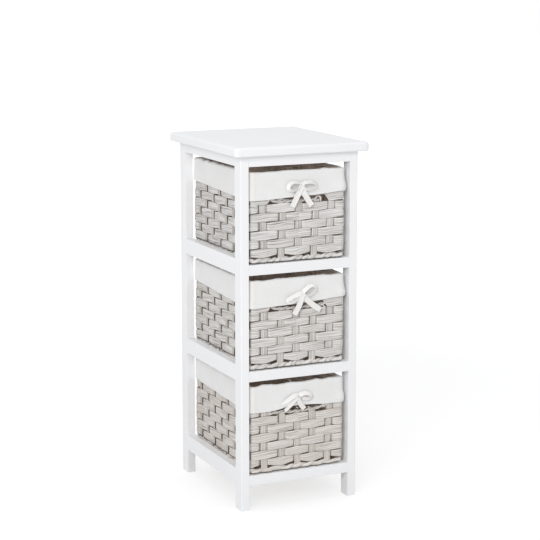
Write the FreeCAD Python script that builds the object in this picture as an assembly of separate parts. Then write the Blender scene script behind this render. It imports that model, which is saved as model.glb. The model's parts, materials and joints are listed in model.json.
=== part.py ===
import FreeCAD, Part
import math
import os

Vector = FreeCAD.Vector

# Small cabinet with three pull-out baskets, in millimetres.
# x runs across the front, y from the front to the back, z up from the floor,
# and the origin is on the floor under the middle of the cabinet.

# Timber frame
body_width = 220.0            # over the outer faces of the posts
body_depth = 270.0
leg_height = 44.0             # floor to the underside of the lowest rails
bay_height = 166.0            # clear opening between one front rail and the next
post_width = 15.0             # post section along x
post_depth = 25.0             # post section along y
rail_height = 18.0            # front and rear rails, and all four rails under the top
rail_thickness = 15.0
side_rail_height = 28.0       # side rails below the top stand above the shelf and guide the basket
post_corner_radius = 1.5      # outer corner of each post
edge_radius = 0.5             # sanded edges of posts and rails

# Top board
top_thickness = 16.0
top_overhang = 15.0
top_corner_radius = 7.0
top_upper_round = 5.0
top_lower_round = 3.0

# Shelves, let into grooves in the side rails and rebates in the front and rear rails
shelf_thickness = 3.0
shelf_groove_depth = 4.0
shelf_rebate_width = 7.0
shelf_clearance = 0.3

# Dowels in the frame joints and screws under the top
dowel_diameter = 6.0
dowel_length = 28.0
dowel_in_post = 10.0          # how far a front or rear rail's dowel goes into the post
dowel_end_gap = 0.5
hole_clearance = 0.1          # around every dowel and screw
screw_diameter = 4.0
screw_head_diameter = 8.0
screw_head_height = 2.4
screw_tip_length = 3.0
screw_bite = 8.0              # length in the top board
screw_spacing = 130.0         # between the two screws of one side rail

# Baskets, sized from the bay and the room left round the cotton cuff
basket_gap_left = 2.4
basket_gap_right = 6.4
basket_gap_top = 10.0
basket_gap_rear = 3.4         # to the rear rails
basket_recess = 3.0           # cuff behind the front of the posts
basket_foot_clearance = 0.3
basket_corner_radius = 9.0    # at the cuff
weave_thickness = 7.0
base_thickness = 5.0
base_foot_gap = 0.5           # base above the foot of the border
border_height = 9.0           # twisted border round the foot
border_bulge = 1.2            # border proud of the weave
border_round = 3.5
part_gap = 0.3                # between the parts of one basket
rim_rod_size = 5.0
rim_rod_round = 2.2
grip_width = 117.0
grip_height = 34.0
grip_radius = 6.0
grip_band = 15.0              # weave above the grip hole
inner_corner_radius = 1.0     # least corner radius inside the basket

# Weave of the walls: rows of flat strands that pass in front of every other upright stake
front_stake_spacing = 32.3
side_stake_spacing = 29.6
stake_opening = 16.0          # between the ends of two strands of a row, where a stake shows
row_height = 15.0             # about, since whole rows fill the wall below the grip hole
strand_rise = 1.7             # strands proud of the stakes
row_groove = 1.0              # width and depth of the line between two rows

# Cotton cuff, sewn down along the inner edge of the rim and turned over it to the outside
cuff_thickness = 1.2
cuff_gap = 0.4
cuff_drop = 45.0
cuff_round = 3.0

# Ribbon bow at the lower edge of the cuff
bow_rise = 16.0               # knot above the lower edge of the cuff
bow_offset = 5.0              # knot right of the basket's middle
knot_width = 10.0
knot_height = 9.0
knot_depth = 6.0
knot_round = 2.0
loop_length = 31.0
loop_height = 13.0
loop_neck = 6.0               # loop's height at the knot
loop_depth = 5.0
ribbon_thickness = 1.5
tail_width = 9.0
tail_length = 36.0
tail_spread = 28.0            # degrees from upright
upper_bow_tilt = 10.0         # degrees, both loops raised
middle_bow_tilt = 30.0        # right loop raised, left loop lowered
lower_bow_tilt = -10.0

# Places worked out from the sizes above
levels = ("bottom", "lower", "upper", "top")
half_width = body_width / 2
half_depth = body_depth / 2
level_pitch = rail_height + bay_height
post_height = leg_height + rail_height + (len(levels) - 1) * level_pitch
post_inner_x = half_width - post_width
post_inner_y = half_depth - post_depth
rail_inner_x = half_width - rail_thickness
rail_inner_y = half_depth - rail_thickness
clear_half_width = min(post_inner_x, rail_inner_x)
x_axis = Vector(1, 0, 0)
y_axis = Vector(0, 1, 0)
z_axis = Vector(0, 0, 1)

nodes = {}
dowels = []
screws = []
holes = {}


def box(x0, x1, y0, y1, z0, z1):
    return Part.makeBox(x1 - x0, y1 - y0, z1 - z0, Vector(x0, y0, z0))


def edges_along(shape, axis):
    straight = [edge for edge in shape.Edges if len(edge.Vertexes) == 2]
    return [edge for edge in straight if abs(edge.tangentAt(edge.FirstParameter).dot(axis)) > 0.99]


def edges_at_height(shape, z):
    level = FreeCAD.Base.Precision.confusion() * 10
    return [e for e in shape.Edges if abs(e.BoundBox.ZMin - z) < level and abs(e.BoundBox.ZMax - z) < level]


def upright_box(outline, inset, z0, z1, corner_radius):
    # a box on the outline (x0, x1, y0, y1), drawn in by the inset, with rounded upright edges
    x0, x1, y0, y1 = outline
    solid = box(x0 + inset, x1 - inset, y0 + inset, y1 - inset, z0, z1)
    radius = max(corner_radius - inset, inner_corner_radius)
    return solid.makeFillet(radius, edges_along(solid, z_axis))


def ring(outline, outer_inset, inner_inset, z0, z1, corner_radius):
    outer = upright_box(outline, outer_inset, z0, z1, corner_radius)
    return outer.cut(upright_box(outline, inner_inset, z0, z1, corner_radius))


# Frame joints: a dowel lies across each joint face, part in the rail and part in the post
def add_dowel(rail_name, post_name, joint_point, into_post, depth):
    radius = dowel_diameter / 2
    start = joint_point - into_post * (dowel_length - depth)
    dowels.append(Part.makeCylinder(radius, dowel_length, start, into_post))
    hole_start = start - into_post * dowel_end_gap
    hole_length = dowel_length + 2 * dowel_end_gap
    hole = Part.makeCylinder(radius + hole_clearance, hole_length, hole_start, into_post)
    holes.setdefault(rail_name, []).append(hole)
    holes.setdefault(post_name, []).append(hole)


def add_cross_rail(row, side, level, z0, has_shelf):
    # a front or rear rail between two posts; side is -1 at the front and 1 at the rear
    name = f"{row}_{level}_rail"
    y0, y1 = sorted((side * half_depth, side * rail_inner_y))
    z1 = z0 + rail_height
    rail = box(-post_inner_x, post_inner_x, y0, y1, z0, z1)
    rail = rail.makeFillet(edge_radius, edges_along(rail, x_axis))
    if has_shelf:
        y0, y1 = sorted((side * rail_inner_y, side * (rail_inner_y + shelf_rebate_width)))
        rail = rail.cut(box(-post_inner_x, post_inner_x, y0, y1, z1 - shelf_thickness, z1))
    joint_y = side * (half_depth - rail_thickness / 2)
    for hand, direction in (("left", -1), ("right", 1)):
        joint = Vector(direction * post_inner_x, joint_y, z0 + rail_height / 2)
        add_dowel(name, f"{row}_{hand}_post", joint, x_axis * direction, dowel_in_post)
    nodes[name] = rail


def add_side_rail(hand, side, level, z0, has_shelf):
    # a rail from the front post to the rear post; side is -1 on the left and 1 on the right
    name = f"{hand}_{level}_rail"
    height = side_rail_height if has_shelf else rail_height
    x0, x1 = sorted((side * half_width, side * rail_inner_x))
    rail = box(x0, x1, -post_inner_y, post_inner_y, z0, z0 + height)
    rail = rail.makeFillet(edge_radius, edges_along(rail, y_axis))
    dowel_rises = [height / 2]
    if has_shelf:
        x0, x1 = sorted((side * rail_inner_x, side * (rail_inner_x + shelf_groove_depth)))
        shelf_top = z0 + rail_height
        groove_floor = shelf_top - shelf_thickness
        rail = rail.cut(box(x0, x1, -post_inner_y, post_inner_y, groove_floor, shelf_top + shelf_clearance))
        dowel_rises = [height / 4, height * 3 / 4]
    # these dowels stop short of the ones from the front and rear rails
    depth = post_depth - rail_thickness - dowel_end_gap
    joint_x = side * (half_width - rail_thickness / 2)
    for row, direction in (("front", -1), ("rear", 1)):
        for rise in dowel_rises:
            joint = Vector(joint_x, direction * post_inner_y, z0 + rise)
            add_dowel(name, f"{row}_{hand}_post", joint, y_axis * direction, depth)
    nodes[name] = rail


def shelf_panel(shelf_top):
    # the side edges lie in the grooves, and the ends pass between the posts into the rebates
    floor = shelf_top - shelf_thickness
    groove_x = rail_inner_x + shelf_groove_depth - shelf_clearance
    groove_y = post_inner_y - shelf_clearance
    end_x = post_inner_x - shelf_clearance
    end_y = rail_inner_y + shelf_rebate_width - shelf_clearance
    panel = box(-groove_x, groove_x, -groove_y, groove_y, floor, shelf_top)
    return panel.fuse(box(-end_x, end_x, -end_y, end_y, floor, shelf_top)).removeSplitter()


def corner_post(x_side, y_side):
    x0, x1 = sorted((x_side * half_width, x_side * post_inner_x))
    y0, y1 = sorted((y_side * half_depth, y_side * post_inner_y))
    post = box(x0, x1, y0, y1, 0, post_height)
    corner = Vector(x_side * half_width, y_side * half_depth, 0)
    uprights = edges_along(post, z_axis)
    reach = [edge.distToShape(Part.Vertex(corner))[0] for edge in uprights]
    outer = uprights.pop(reach.index(min(reach)))
    post = post.makeFillet(edge_radius, uprights)
    outer = [edge for edge in edges_along(post, z_axis) if edge.distToShape(outer)[0] < edge_radius / 2]
    return post.makeFillet(post_corner_radius, outer)


def wood_screw(head_point, clearance):
    # countersunk head below, plain shank and a pointed end; the clearance widens it into its own hole
    head = screw_head_diameter / 2 + clearance
    shank = screw_diameter / 2 + clearance
    length = rail_height + screw_bite + clearance
    profile = [
        Vector(0, 0, 0),
        Vector(head, 0, 0),
        Vector(shank, 0, screw_head_height),
        Vector(shank, 0, length - screw_tip_length),
        Vector(0, 0, length),
    ]
    outline = Part.Face(Part.makePolygon(profile + profile[:1]))
    screw = outline.revolve(Vector(0, 0, 0), z_axis, 360)
    screw.translate(head_point)
    return screw


def top_board(z0):
    outline = (-half_width, half_width, -half_depth, half_depth)
    z1 = z0 + top_thickness
    board = upright_box(outline, -top_overhang, z0, z1, top_corner_radius - top_overhang)
    board = board.makeFillet(top_upper_round, edges_at_height(board, z1))
    return board.makeFillet(top_lower_round, edges_at_height(board, z0))


def add_top_screws(hand, side, z0):
    x = side * (half_width - rail_thickness / 2)
    for y in (-screw_spacing / 2, screw_spacing / 2):
        head_point = Vector(x, y, z0)
        screws.append(wood_screw(head_point, 0))
        hole = wood_screw(head_point, hole_clearance)
        holes.setdefault(f"{hand}_top_rail", []).append(hole)
        holes.setdefault("top_board", []).append(hole)


def loop_outline(length, half_neck, half_height):
    # straight sides widen from the knot and close in a round end
    shoulder = length - half_height
    upper = Vector(shoulder, 0, half_height)
    lower = Vector(shoulder, 0, -half_height)
    start = Vector(0, 0, half_neck)
    end = Vector(0, 0, -half_neck)
    sides = [Part.makeLine(start, upper), Part.makeLine(lower, end), Part.makeLine(end, start)]
    round_end = Part.Arc(upper, Vector(length, 0, 0), lower).toShape()
    return Part.Wire([sides[0], round_end, sides[1], sides[2]])


def ribbon_loop():
    outer = Part.Face(loop_outline(loop_length, loop_neck / 2, loop_height / 2))
    eye = loop_outline(loop_length - ribbon_thickness, loop_neck / 2 - ribbon_thickness,
                       loop_height / 2 - ribbon_thickness)
    return outer.cut(Part.Face(eye)).extrude(y_axis * -loop_depth)


def ribbon_bow(knot_point, left_tilt, right_tilt):
    # two loops and two tails under one knot, lying against the cuff at y = 0
    knot = box(-knot_width / 2, knot_width / 2, -knot_depth, 0, -knot_height / 2, knot_height / 2)
    bow = knot.makeFillet(knot_round, knot.Edges)
    right_loop = ribbon_loop()
    left_loop = ribbon_loop().mirror(Vector(0, 0, 0), x_axis)
    origin = Vector(0, 0, 0)
    right_loop.rotate(origin, y_axis, -right_tilt)
    left_loop.rotate(origin, y_axis, left_tilt)
    pieces = [right_loop, left_loop]
    for turn in (-tail_spread, tail_spread):
        tail = box(-tail_width / 2, tail_width / 2, -2 * ribbon_thickness, -ribbon_thickness, -tail_length, 0)
        tail.rotate(origin, y_axis, turn)
        pieces.append(tail)
    bow = bow.multiFuse(pieces).removeSplitter()
    bow.translate(knot_point)
    return bow


def stake_places(length, spacing, centre):
    # evenly spaced about the centre, as many as stand clear of the rounded corners
    room = length - 2 * basket_corner_radius - stake_opening
    count = int(room // spacing) + 1
    return [centre + (index - (count - 1) / 2) * spacing for index in range(count)]


def stake_openings(outer, z0, z1):
    # one shallow opening for each stake of a row, from the front left corner round to the right
    x0, x1, y0, y1 = outer
    half = stake_opening / 2
    front_places = stake_places(x1 - x0, front_stake_spacing, (x0 + x1) / 2)
    side_places = stake_places(y1 - y0, side_stake_spacing, (y0 + y1) / 2)
    depth = strand_rise
    front = [box(x - half, x + half, y0 - depth, y0 + depth, z0, z1) for x in front_places]
    right = [box(x1 - depth, x1 + depth, y - half, y + half, z0, z1) for y in side_places]
    rear = [box(x - half, x + half, y1 - depth, y1 + depth, z0, z1) for x in reversed(front_places)]
    left = [box(x0 - depth, x0 + depth, y - half, y + half, z0, z1) for y in reversed(side_places)]
    return front + right + rear + left


def weave_cuts(outline, weave_inset, low, sill, high, first_stake):
    # the openings of every row that shows below the cuff, on every other stake, and the lines between the rows
    outer = (outline[0] + weave_inset, outline[1] - weave_inset, outline[2] + weave_inset, outline[3] - weave_inset)
    pitch = (sill - low) / max(1, round((sill - low) / row_height))
    rows = math.ceil((high - low) / pitch)
    cuts = []
    for row in range(rows):
        z = low + row * pitch
        cuts += stake_openings(outer, z, z + pitch)[(row + first_stake) % 2::2]
        if row > 0:
            cuts.append(ring(outline, weave_inset - row_groove / 2, weave_inset + row_groove,
                             z - row_groove / 2, z + row_groove / 2, basket_corner_radius))
    return cuts


def add_basket(name, shelf_top, left_tilt, right_tilt, first_stake):
    # the first stake, 0 or 1, that shows in the lowest row, counted from the front left corner
    foot = shelf_top + basket_foot_clearance
    cuff_top = shelf_top + bay_height - basket_gap_top
    cuff_bottom = cuff_top - cuff_drop
    rod_top = cuff_top - cuff_thickness - cuff_gap
    wall_top = rod_top - rim_rod_size - part_gap
    border_top = foot + border_height
    base_top = foot + base_foot_gap + base_thickness
    outline = (-clear_half_width + basket_gap_left, clear_half_width - basket_gap_right,
               -half_depth + basket_recess, rail_inner_y - basket_gap_rear)
    radius = basket_corner_radius
    middle_x = (outline[0] + outline[1]) / 2
    weave_inset = cuff_thickness + cuff_gap
    inside_inset = weave_inset + weave_thickness

    # woven wall with the grip hole through its front
    wall = ring(outline, weave_inset, inside_inset, border_top, wall_top, radius)
    grip_top = wall_top - grip_band
    front = outline[2]
    grip = box(middle_x - grip_width / 2, middle_x + grip_width / 2, front, front + 2 * inside_inset,
               grip_top - grip_height, grip_top)
    grip = grip.makeFillet(grip_radius, edges_along(grip, y_axis))
    cuts = weave_cuts(outline, weave_inset, border_top, grip_top - grip_height, cuff_bottom, first_stake)
    nodes[f"{name}_wall"] = wall.cut([grip] + cuts)

    # border round the foot, with the woven base inside it
    border = ring(outline, weave_inset - border_bulge, inside_inset, foot, border_top, radius)
    outer_edges = [edge for z in (foot, border_top) for edge in edges_at_height(border, z)]
    outer_face = upright_box(outline, weave_inset, foot, border_top, radius)
    outer_edges = [edge for edge in outer_edges if not outer_face.isInside(edge.CenterOfMass, part_gap, True)]
    nodes[f"{name}_border"] = border.makeFillet(border_round, outer_edges)
    nodes[f"{name}_base"] = upright_box(outline, inside_inset + part_gap, foot + base_foot_gap, base_top, radius)

    # stiff rod under the fold of the cuff
    rod_inset = weave_inset + (weave_thickness - rim_rod_size) / 2
    rod = ring(outline, rod_inset, rod_inset + rim_rod_size, wall_top + part_gap, rod_top, radius)
    rod_edges = edges_at_height(rod, rod_top) + edges_at_height(rod, wall_top + part_gap)
    nodes[f"{name}_rim_rod"] = rod.makeFillet(rim_rod_round, rod_edges)

    # cotton cuff: one band of cloth, from the inner edge of the rim over it and down outside
    fold = upright_box(outline, 0, cuff_bottom, cuff_top, radius)
    fold = fold.makeFillet(cuff_round, edges_at_height(fold, cuff_top))
    rim_space = upright_box(outline, cuff_thickness, cuff_bottom, cuff_top - cuff_thickness, radius)
    rim_edges = edges_at_height(rim_space, cuff_top - cuff_thickness)
    rim_space = rim_space.makeFillet(cuff_round - cuff_thickness, rim_edges)
    mouth = upright_box(outline, inside_inset, cuff_bottom, cuff_top, radius)
    nodes[f"{name}_cuff"] = fold.cut(rim_space).cut(mouth)

    knot_point = Vector(middle_x + bow_offset, front, cuff_bottom + bow_rise)
    nodes[f"{name}_bow"] = ribbon_bow(knot_point, left_tilt, right_tilt)


# Rails and shelves, level by level from the floor
for index, level in enumerate(levels):
    level_z = leg_height + index * level_pitch
    carries_shelf = level != "top"
    for row, side in (("front", -1), ("rear", 1)):
        add_cross_rail(row, side, level, level_z, carries_shelf)
    for hand, side in (("left", -1), ("right", 1)):
        add_side_rail(hand, side, level, level_z, carries_shelf)
    if carries_shelf:
        nodes[f"{level}_shelf"] = shelf_panel(level_z + rail_height)

# Posts, top board and its screws
for row, y_side in (("front", -1), ("rear", 1)):
    for hand, x_side in (("left", -1), ("right", 1)):
        nodes[f"{row}_{hand}_post"] = corner_post(x_side, y_side)
nodes["top_board"] = top_board(post_height)
for hand, side in (("left", -1), ("right", 1)):
    add_top_screws(hand, side, post_height - rail_height)

# Holes for the dowels and screws
for name, cutters in holes.items():
    nodes[name] = nodes[name].cut(cutters)
nodes["frame_dowels"] = Part.makeCompound(dowels)
nodes["top_board_screws"] = Part.makeCompound(screws)

# One basket on each shelf
shelf_tops = [leg_height + index * level_pitch + rail_height for index in range(len(levels) - 1)]
add_basket("lower_basket", shelf_tops[0], -lower_bow_tilt, lower_bow_tilt, 0)
add_basket("middle_basket", shelf_tops[1], -middle_bow_tilt, middle_bow_tilt, 1)
add_basket("upper_basket", shelf_tops[2], upper_bow_tilt, upper_bow_tilt, 1)

os.makedirs("parts", exist_ok=True)
for name, shape in nodes.items():
    shape.exportStep(f"parts/{name}.step")
    print(name, len(shape.Solids), round(shape.Volume), shape.isValid())
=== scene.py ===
import json
import math

import bpy
import numpy as np
from mathutils import Matrix, Vector


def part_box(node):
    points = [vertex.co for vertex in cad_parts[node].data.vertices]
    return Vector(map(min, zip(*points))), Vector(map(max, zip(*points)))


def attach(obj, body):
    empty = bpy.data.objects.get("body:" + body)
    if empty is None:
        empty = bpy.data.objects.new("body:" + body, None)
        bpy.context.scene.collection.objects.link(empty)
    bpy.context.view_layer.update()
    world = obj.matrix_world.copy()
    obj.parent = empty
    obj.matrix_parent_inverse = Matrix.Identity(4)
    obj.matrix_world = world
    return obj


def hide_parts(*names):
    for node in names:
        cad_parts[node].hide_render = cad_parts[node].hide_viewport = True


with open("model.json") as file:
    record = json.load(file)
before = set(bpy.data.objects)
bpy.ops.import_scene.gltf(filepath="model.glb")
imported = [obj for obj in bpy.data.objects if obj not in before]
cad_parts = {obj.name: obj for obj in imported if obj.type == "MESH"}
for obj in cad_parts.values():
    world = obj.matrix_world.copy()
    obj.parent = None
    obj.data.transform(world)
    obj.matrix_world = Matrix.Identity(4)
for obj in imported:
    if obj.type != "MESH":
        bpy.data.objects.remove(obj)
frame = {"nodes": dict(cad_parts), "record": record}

scene = bpy.context.scene
nodes = frame["nodes"]
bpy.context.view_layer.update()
print("frame loaded:", len(nodes), "nodes")


def addObject(name, data):
    item = bpy.data.objects.new(name, data)
    scene.collection.objects.link(item)
    return item


# Camera, at the photograph's viewing angle

view = {
    "turn": -0.4337,  # radians round to the left of the front
    "pitch": 0.1859,  # radians above the horizon
    "distance": 2.95052,
    "aimHeight": 0.3,
    "slideAcross": 0.0058419,
    "slideUp": 0.0904452,
    "lens": 1650.38 / 15,  # millimetres, on a sensor 36 mm wide
}


def makeCamera():
    turn, pitch = view["turn"], view["pitch"]
    back = Vector((math.sin(turn) * math.cos(pitch), -math.cos(turn) * math.cos(pitch), math.sin(pitch)))
    right = Vector((math.cos(turn), math.sin(turn), 0))
    up = back.cross(right)
    aim = Vector((0, 0, view["aimHeight"]))
    aim += right * view["slideAcross"] + up * view["slideUp"]
    data = bpy.data.cameras.new("photoCamera")
    data.lens = view["lens"]
    facing = Matrix((right, up, back)).transposed().to_4x4()
    scene.camera = addObject("photoCamera", data)
    scene.camera.matrix_world = Matrix.Translation(aim + back * view["distance"]) @ facing


makeCamera()
scene.view_settings.view_transform = "Standard"
print("camera placed")

# Node tree helpers for the finishes


def feed(node, sockets):
    # links each socket from an output, or sets it to a value
    for name, value in sockets.items():
        target = node.inputs[name]
        if isinstance(value, bpy.types.NodeSocket):
            node.id_data.links.new(value, target)
        else:
            target.default_value = (*value, 1) if target.type == "RGBA" else value


def addNode(tree, kind, sockets={}, **settings):
    # a node with its settings and sockets; gives its outputs
    node = tree.nodes.new("ShaderNode" + kind)
    for key, value in settings.items():
        setattr(node, key, value)
    feed(node, sockets)
    return node.outputs


def attribute(tree, name):
    return addNode(tree, "Attribute", attribute_name=name)["Fac"]


def mapped(tree, source, scale=(1, 1, 1)):
    # coordinates from Object or UV, stretched by scale
    return addNode(tree, "Mapping", {"Scale": scale, "Vector": addNode(tree, "TexCoord")[source]})["Vector"]


def noise(tree, scale, detail=2.0, rough=0.5, source="Object"):
    sockets = {"Scale": 1.0, "Detail": detail, "Roughness": rough, "Vector": mapped(tree, source, scale)}
    return addNode(tree, "TexNoise", sockets)["Fac"]


def ramp(tree, factor, stops):
    node = tree.nodes.new("ShaderNodeValToRGB")
    feed(node, {"Fac": factor})
    elements = node.color_ramp.elements
    for spare in range(len(stops) - len(elements)):
        elements.new(0.5)
    for element, (place, colour) in zip(elements, stops):
        element.position = place
        element.color = (*colour, 1)
    return node.outputs["Color"]


def mixColour(tree, factor, first, second):
    return addNode(tree, "Mix", {0: factor, 6: first, 7: second}, data_type="RGBA")[2]


def maths(tree, operation, first, second):
    return addNode(tree, "Math", {0: first, 1: second}, operation=operation)[0]


def blended(tree, first, second, share):
    # the first by its share, and the second by the rest
    return addNode(tree, "Mix", {0: share, 2: second, 3: first})[0]


def bump(tree, height, relief, under=None):
    strength, distance = relief
    sockets = {"Strength": strength, "Distance": distance, "Height": height}
    if under is not None:
        sockets["Normal"] = under
    return addNode(tree, "Bump", sockets)["Normal"]


# Finishes: each colour has the noise level where it stands, each relief a strength and a distance

lacquer = {"colours": ((0.3, (0.868, 0.872, 0.882)), (0.7, (0.895, 0.898, 0.906))), "cloud": (6, 6, 6),
           "gloss": ((0.3, (0.3,) * 3), (0.75, (0.42,) * 3)), "peel": (420, 420, 420),
           "grain": (260, 260, 14), "peelRelief": (0.06, 0.0004), "grainRelief": (0.05, 0.0004)}
hardboard = {"colours": ((0.3, (0.2, 0.132, 0.088)), (0.72, (0.32, 0.222, 0.152))),
             "fibre": (260, 260, 260), "relief": (0.12, 0.0004), "downFrom": -0.5}


def lacquerColour(tree):
    return ramp(tree, noise(tree, lacquer["cloud"], 3.0), lacquer["colours"])


def whiteLacquer(tree):
    # a fine orange peel over long faint brush and grain lines
    peel = noise(tree, lacquer["peel"])
    grain = noise(tree, lacquer["grain"], 3.0)
    return {"Base Color": lacquerColour(tree), "Roughness": ramp(tree, peel, lacquer["gloss"]),
            "Normal": bump(tree, peel, lacquer["peelRelief"], bump(tree, grain, lacquer["grainRelief"]))}


def shelfBoard(tree):
    # lacquered, but bare brown hardboard where the face looks down
    axes = addNode(tree, "SeparateXYZ", {0: addNode(tree, "TexCoord")["Normal"]})
    facesDown = maths(tree, "LESS_THAN", axes["Z"], hardboard["downFrom"])
    fibre = noise(tree, hardboard["fibre"], 4.0, 0.65)
    brown = ramp(tree, fibre, hardboard["colours"])
    return {"Base Color": mixColour(tree, facesDown, lacquerColour(tree), brown),
            "Normal": bump(tree, fibre, hardboard["relief"])}


wash = {
    "washed": ((0.37, (0.35, 0.328, 0.305)), (0.475, (0.775, 0.756, 0.737)), (0.63, (0.95, 0.938, 0.922))),
    "bare": ((0.34, (0.8, 0.665, 0.56)), (0.62, (0.96, 0.855, 0.76))),
    # the last colour is painted shade: a near-black brown for grooves, gaps, brick ends and the ropes'
    # undersides
    "warm": (0.5, 0.465, 0.425), "paintedShade": (0.07, 0.053, 0.042),
    "broad": (13, 430, 1), "fine": (32, 1700, 1), "broadShare": 0.62,  # streaks, along and across the strand
    "broadRelief": (0.45, 0.0009), "fineRelief": (0.5, 0.0006), "outerTint": 0.7,
    "glow": 0.026,  # painted light: bare fibre glows faintly in its own brown, less where tinted
}


def greyWeave(tree):
    # washed grey fibre, streaked along and tinted strand by strand; bare brown inside, with a faint painted
    # glow; painted shade, near black, in grooves, gaps and under things
    broad, fine = (noise(tree, wash[streak], 2.0, 0.6, "UV") for streak in ("broad", "fine"))
    streaks = blended(tree, broad, fine, wash["broadShare"])
    brown = ramp(tree, streaks, wash["bare"])
    tint, bare, paintedShade = (attribute(tree, mark) for mark in ("tint", "bare", "paintedShade"))
    toned = mixColour(tree, tint, ramp(tree, streaks, wash["washed"]), wash["warm"])
    # painted light: the bare fibre glows faintly in its own brown, less where tinted
    paintedGlow = maths(tree, "MULTIPLY", bare, maths(tree, "SUBTRACT", 1.0, tint))
    relief = bump(tree, broad, wash["broadRelief"])
    return {"Base Color": mixColour(tree, paintedShade, mixColour(tree, bare, toned, brown), wash["paintedShade"]),
            "Normal": bump(tree, fine, wash["fineRelief"], relief), "Emission Color": brown,
            "Emission Strength": maths(tree, "MULTIPLY", paintedGlow, wash["glow"])}


beech = {"colours": ((0.3, (0.46, 0.29, 0.16)), (0.7, (0.6, 0.42, 0.26))), "grain": (300, 300, 30)}
zinc = {"colours": ((0.3, (0.55, 0.56, 0.58)), (0.7, (0.68, 0.69, 0.71))), "grain": (180, 180, 180),
        "metal": 1.0}
willow = {"colours": ((0.32, wash["bare"][0][1]), (0.64, wash["bare"][1][1])),
          "grain": (45, 45, 1400), "rough": 0.6, "relief": (0.3, 0.0004)}


def grained(tree, stuff):
    # one noise drawn out along the grain gives the colour, and any relief
    grain = noise(tree, stuff["grain"], 3.0, stuff.get("rough", 0.5))
    sockets = {"Base Color": ramp(tree, grain, stuff["colours"]), "Metallic": stuff.get("metal", 0.0)}
    if "relief" in stuff:
        sockets["Normal"] = bump(tree, grain, stuff["relief"])
    return sockets


cotton = {"colours": ((0.32, (0.806, 0.798, 0.784)), (0.58, (0.842, 0.84, 0.836))),
          "seam": (0.83, 0.805, 0.775), "thread": 0.0007}
ribbon = {"colours": ((0.32, (0.855, 0.84, 0.815)), (0.58, (0.895, 0.885, 0.868))),
          "seam": (0.86, 0.835, 0.79), "thread": 0.0006}
cloth = {"slub": (60, 900, 1), "cloud": (22, 22, 22), "slubShare": 0.4, "sheen": 0.15, "waver": 0.4,
         "threadScale": 0.314, "threadRelief": (0.25, 0.0003), "slubRelief": (0.12, 0.0004)}


def threads(tree, size):
    # two crossed sets of rounded threads, as a height from 0 to 1
    vector = mapped(tree, "UV", (cloth["threadScale"] / size,) * 3)
    sockets = {"Scale": 1.0, "Distortion": cloth["waver"], "Vector": vector}
    waves = [addNode(tree, "TexWave", sockets, bands_direction=axis)["Fac"] for axis in "XY"]
    return maths(tree, "MULTIPLY", *waves)


def cottonCloth(tree, kind):
    # plain weave with slubs along the threads; tint turns it to the creamier colour of a seam
    slub = noise(tree, cloth["slub"], source="UV")
    mottled = blended(tree, slub, noise(tree, cloth["cloud"], 3.0), cloth["slubShare"])
    plain = ramp(tree, mottled, kind["colours"])
    relief = bump(tree, threads(tree, kind["thread"]), cloth["threadRelief"])
    return {"Base Color": mixColour(tree, attribute(tree, "tint"), plain, kind["seam"]),
            "Sheen Weight": cloth["sheen"], "Normal": bump(tree, slub, cloth["slubRelief"], relief)}


def newFinish(name, roughness, specular, build, *values):
    material = bpy.data.materials.new(name)
    material.use_nodes = True
    shader = material.node_tree.nodes["Principled BSDF"]
    feed(shader, {"Roughness": roughness, "Specular IOR Level": specular})
    feed(shader, build(material.node_tree, *values))
    return material


# name, roughness, specular level, and what builds the rest
finishes = {
    "white_lacquer": newFinish("whiteLacquer", 0.36, 0.5, whiteLacquer),
    "shelf_board": newFinish("shelfBoard", 0.45, 0.5, shelfBoard),
    "beech": newFinish("beechWood", 0.6, 0.5, grained, beech),
    "zinc_steel": newFinish("zincSteel", 0.35, 0.5, grained, zinc),
    "rim_willow": newFinish("rimWillow", 0.7, 0.3, grained, willow),
    "grey_weave": newFinish("greyWeave", 0.72, 0.25, greyWeave),
    "cotton_cuff": newFinish("cottonCuff", 0.85, 0.2, cottonCloth, cotton),
    "cotton_ribbon": newFinish("cottonRibbon", 0.85, 0.2, cottonCloth, ribbon),
}
finishes["grey_weave"].cycles.emission_sampling = "NONE"
for part in frame["record"]["subparts"]:
    coats = nodes[part["node"]].data.materials
    coats.clear()
    coats.append(finishes[part["material_slot"]])
print("finishes put on the frame")

# Meshes from grids of points


def gridFaces(points, closed, start):
    # one quad per grid cell; columns, and rows if closed, wrap round to the first
    nu, nv = points.shape[:2]
    a, b = np.meshgrid(np.arange(nu + closed), np.arange(nv + 1), indexing="ij")
    low, high = slice(0, -1), slice(1, None)
    cells = ((low, low), (high, low), (high, high), (low, high))
    a, b = (np.stack([side[cell].ravel() for cell in cells], -1) for side in (a, b))
    return (a % nu) * nv + b % nv + start, a, b


def facesInward(points, quads):
    # sign of the enclosed volume, summed over both triangles of each quad
    p = points.reshape(-1, 3)
    p = p - p.mean(0)
    a, b, c, d = np.moveaxis(p[quads - quads.min()], 1, 0)
    return (a * np.cross(b, c)).sum() + (a * np.cross(c, d)).sum() < 0


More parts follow.
